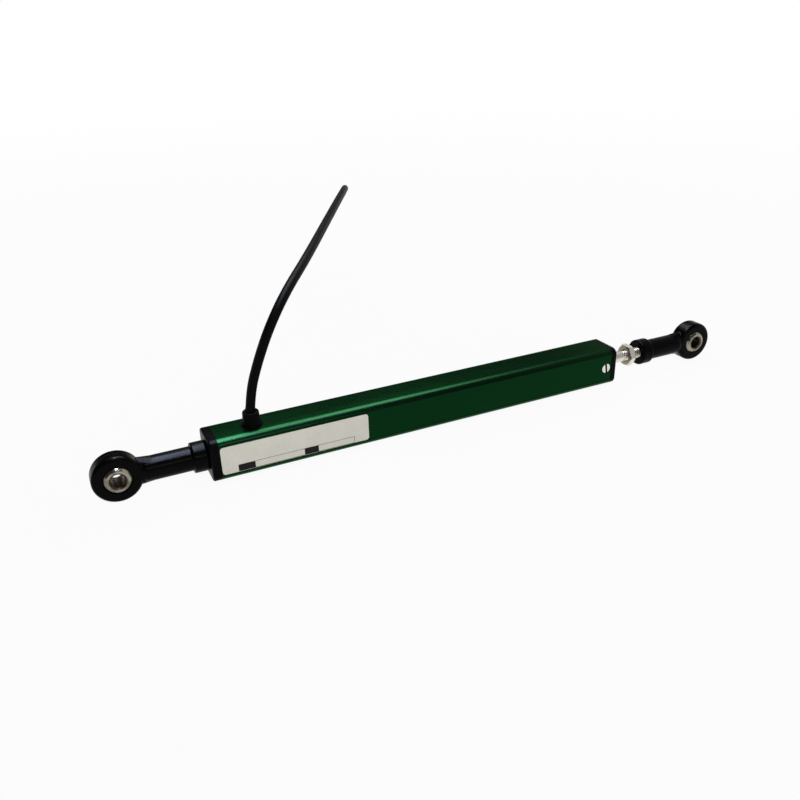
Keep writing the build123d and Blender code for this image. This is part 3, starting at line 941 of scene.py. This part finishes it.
def threaded_bar(name, start, end, sides=48):
    """A bar along X with a helical ridge, cut square at both ends."""
    bpy.ops.object.select_all(action="DESELECT")
    bpy.ops.mesh.primitive_plane_add(size=thread_pitch)
    thread = bpy.context.object
    thread.name = name
    bpy.ops.object.mode_set(mode="EDIT")
    bpy.ops.mesh.select_mode(type="VERT")
    bpy.ops.mesh.select_all(action="SELECT")
    bpy.ops.mesh.merge(type="CENTER")
    bpy.ops.transform.translate(value=(start - 2 * thread_pitch, 0, thread_minor / 2))
    depth = (thread_major - thread_minor) / 2
    for share, rise in ((4 / 16, 0), (5 / 16, depth), (2 / 16, 0), (5 / 16, -depth)):
        move = {"value": (share * thread_pitch, 0, rise)}
        bpy.ops.mesh.extrude_vertices_move(TRANSFORM_OT_translate=move)
    bpy.ops.object.mode_set(mode="OBJECT")
    turns = math.ceil((end - start) / thread_pitch) + 4
    apply(thread, "SCREW", axis="X", angle=2 * math.pi, screw_offset=thread_pitch, iterations=turns,
          steps=sides, render_steps=sides)
    bpy.ops.object.mode_set(mode="EDIT")
    bpy.ops.mesh.select_all(action="SELECT")
    bpy.ops.mesh.remove_doubles(threshold=0.002)
    bpy.ops.mesh.select_all(action="SELECT")
    bpy.ops.mesh.bisect(plane_co=(start, 0, 0), plane_no=(1, 0, 0), use_fill=True, clear_inner=True)
    bpy.ops.mesh.select_all(action="SELECT")
    bpy.ops.mesh.bisect(plane_co=(end, 0, 0), plane_no=(1, 0, 0), use_fill=True, clear_outer=True)
    bpy.ops.mesh.select_all(action="SELECT")
    bpy.ops.mesh.normals_make_consistent(inside=False)
    bpy.ops.object.mode_set(mode="OBJECT")
    return thread


rod_diameter = rod_high.z - rod_low.z
plain_rod = turned("sliding_rod", "X", [
    (rod_low.x, journal_diameter - 2 * rod_chamfer),
    (rod_low.x + rod_chamfer, journal_diameter),
    (clip_low.x - clip_play, journal_diameter),
    (clip_low.x - clip_play, groove_diameter),
    (clip_high.x + clip_play, groove_diameter),
    (clip_high.x + clip_play, journal_diameter),
    (shoulder_x, journal_diameter),
    (shoulder_x, rod_diameter - 2 * rod_chamfer),
    (shoulder_x + rod_chamfer, rod_diameter),
    (thread_start - 0.1, rod_diameter),
    (thread_start + 0.5, thread_minor - 0.2),
])
thread = threaded_bar("thread", thread_start, rod_high.x)
tip = turned("tip", "X", [
    (thread_start - 1, 6),
    (rod_high.x - tip_chamfer, thread_major + 0.1),
    (rod_high.x, thread_minor - 0.1),
])
combine(thread, tip, "INTERSECT")
combine(plain_rod, thread, "UNION")

ground_steel, shade = new_material("rod_steel")
grinding = shade.noise(0.00018, scale=(6, 1, 1), detail=3.0)
drawn_streaks = shade.noise(0.0011, scale=(0.03, 1, 1), detail=3.0)
shade.finish({
    "Base Color": shade.blend(drawn_streaks.band(0.38, 0.60), (0.50, 0.47, 0.42, 1), (0.76, 0.73, 0.67, 1)),
    "Metallic": 1.0,
    "Roughness": 0.18 + drawn_streaks * 0.14,
    "Normal": shade.bump(grinding, 0.000003, 0.6),
})
fit(plain_rod, "shaft", "rod_steel", ground_steel, "shaft", angle=28)


# Lock nut
# A thin M4 hexagon nut, zinc plated, with turned corners; its two flat faces are painted dark brown as shade.
# It is run up on the rod's thread towards the moving rod end, to lock the set length.
nut_low, nut_high = limits("lock_nut")
nut_flats = nut_high.z - nut_low.z
nut_corners = 2 * nut_flats / math.sqrt(3)
nut_face = 6.7
nut_turning = 0.40
nut_hole = 4.02
nut_countersink, nut_mouth = 0.3, 5.6

nut = turned("hexagon_nut", "X", [(nut_low.x, nut_corners), (nut_high.x, nut_corners)], sides=6)
turning = turned("turning", "X", [
    (nut_low.x, nut_face),
    (nut_low.x + nut_turning, nut_corners + 0.1),
    (nut_high.x - nut_turning, nut_corners + 0.1),
    (nut_high.x, nut_face),
], sides=128)
combine(nut, turning, "INTERSECT")
round_edges(nut, 0.05, 3, lambda one, other: abs(one.x - other.x) > 0.3)
nut_bore = turned("bore", "X", [
    (nut_low.x - 0.5, nut_mouth),
    (nut_low.x + nut_countersink, nut_hole),
    (nut_high.x - nut_countersink, nut_hole),
    (nut_high.x + 0.5, nut_mouth),
], sides=64)
combine(nut, nut_bore)

nut_zinc, shade = new_material("nut_steel")
nut_plating = shade.noise(0.0005, detail=4.0)
nut_scratches = shade.noise(0.00015, scale=(0.2, 1, 1), detail=3.0)
along_nut = shade.node("SeparateXYZ", {}, {"Vector": shade.node("TexCoord").part("Object")}).part("X")
nut_middle = (nut_low.x + nut_high.x) / 2000
face_reach = (nut_high.x - nut_low.x) / 2000
# Both flat faces blend to a dark brown: painted shade on the faces.
face_painted_shade = shade.math("ABSOLUTE", along_nut - nut_middle).band(face_reach - 0.00012, face_reach - 0.00004)
bright = shade.blend(nut_plating, (0.70, 0.67, 0.60, 1), (0.84, 0.81, 0.74, 1))
shade.finish({
    "Base Color": shade.blend(face_painted_shade, bright, (0.30, 0.245, 0.18, 1)),
    "Metallic": 1.0,
    "Roughness": 0.26 + nut_scratches * 0.14,
    "Normal": shade.bump(nut_scratches, 0.000006, 0.5),
})
fit(nut, "shaft", "bright_steel", nut_zinc, "lock_nut")


# Cable gland
# A small black moulded gland. Its flange bears on the housing, a threaded tail takes a flat nut
# inside, and the cable is bonded into its tapered body.
gland_tail, gland_flange, gland_neck = 4.0, 6.4, 4.7
gland_flange_height = 0.5
cable_mouth = cable_diameter * 1000 + 0.24
gland_top_z = gland_top * 1000
gland_foot_z = gland_low.z * 1000
body_foot_z = tube_high.z + gland_flange_height

gland_body = turned("gland_moulding", "Z", [
    (gland_foot_z, gland_tail - 0.5),
    (gland_foot_z + 0.25, gland_tail),
    (tube_high.z, gland_tail),
    (tube_high.z, gland_flange - 0.1),
    (tube_high.z + 0.05, gland_flange),
    (body_foot_z - 0.12, gland_flange),
    (body_foot_z - 0.04, gland_flange - 0.08),
    (body_foot_z, gland_flange - 0.2),
    (body_foot_z, gland_flange - 1.0),
    (body_foot_z + 0.08, gland_flange - 1.1),
    (gland_top_z - 0.35, gland_neck + 0.14),
    (gland_top_z - 0.15, gland_neck),
    (gland_top_z - 0.03, gland_neck - 0.3),
    (gland_top_z, gland_neck - 0.6),
    (gland_top_z, cable_mouth + 0.1),
    (gland_top_z - 0.1, cable_mouth),
    (gland_top_z - 0.8, cable_mouth),
], (gland_x_mm, 0, 0))
fit(gland_body, "housing", "gland_plastic", mould_black, "cable_gland")


# Inside the housing
# The carriage with its wiper runs over two printed tracks on a board. Seals close both caps, a
# sintered bush guides the rod, and three leads join the board's pins to the cable.
def dress(material, *names):
    """Give CAD nodes one material."""
    for name in names:
        for material_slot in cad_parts[name].material_slots:
            material_slot.material = material


def grained(name, dark, light, grain_size, roughness,
            metallic=0.0, grain_height=0.00001, stretch=(1, 1, 1)):
    """A material with two close tones and a fine grain."""
    made, shade = new_material(name)
    cloud = shade.noise(grain_size * 8, scale=stretch)
    grain = shade.noise(grain_size, scale=stretch)
    shade.finish({
        "Base Color": shade.blend(cloud, (*dark, 1), (*light, 1)),
        "Metallic": metallic,
        "Roughness": roughness + cloud * 0.12,
        "Specular IOR Level": 0.35,
        "Normal": shade.bump(grain, grain_height),
    })
    return made


zinc, shade = new_material("bright_steel")
plating = shade.noise(0.0006, detail=4.0)
handling = shade.noise(0.00015, detail=3.0)
shade.finish({
    "Base Color": shade.blend(plating, (0.62, 0.61, 0.58, 1), (0.76, 0.75, 0.72, 1)),
    "Metallic": 1.0,
    "Roughness": 0.24 + handling * 0.14,
    "Normal": shade.bump(handling, 0.000006, 0.5),
})
nitrile = grained("seal_rubber", (0.006, 0.006, 0.006), (0.012, 0.012, 0.012), 0.0001, 0.5)
spring_sheet = grained("spring_steel", (0.52, 0.49, 0.42), (0.66, 0.62, 0.53), 0.00008, 0.22,
                       metallic=1.0, grain_height=0.000004, stretch=(0.1, 1, 1))
bronze = grained("bush_bronze", (0.40, 0.25, 0.11), (0.56, 0.38, 0.19), 0.00007, 0.38,
                 metallic=1.0, grain_height=0.00002)
acetal = grained("carriage_plastic", (0.62, 0.60, 0.54), (0.74, 0.72, 0.66), 0.0002, 0.35)
laminate = grained("board_laminate", (0.10, 0.14, 0.04), (0.16, 0.20, 0.07), 0.0003, 0.4,
                   grain_height=0.00002, stretch=(1, 0.3, 1))
carbon_ink = grained("track_ink", (0.010, 0.010, 0.011), (0.020, 0.020, 0.021), 0.00006, 0.45)
silver_ink = grained("collector_silver", (0.58, 0.57, 0.54), (0.72, 0.71, 0.68), 0.00006, 0.35,
                     metallic=1.0)
pin_metal = grained("pin_brass", (0.60, 0.48, 0.24), (0.74, 0.62, 0.36), 0.00008, 0.25,
                    metallic=1.0, grain_height=0.000004)
dress(nitrile, "rear_cap_seal", "front_cap_seal", "rod_seal")
dress(zinc, "rear_stud", "retaining_washer")
dress(spring_sheet, "retaining_clip", "wiper")
dress(bronze, "shaft_bush")
dress(acetal, "carriage")
dress(laminate, "track_board")
dress(carbon_ink, "resistive_track")
dress(silver_ink, "collector_track")
dress(pin_metal, "terminal_pins", "wiper_rivets")
dress(mould_black, "gland_lock_nut")
dress(core_insulation(core_colours["red"]), "inner_leads")
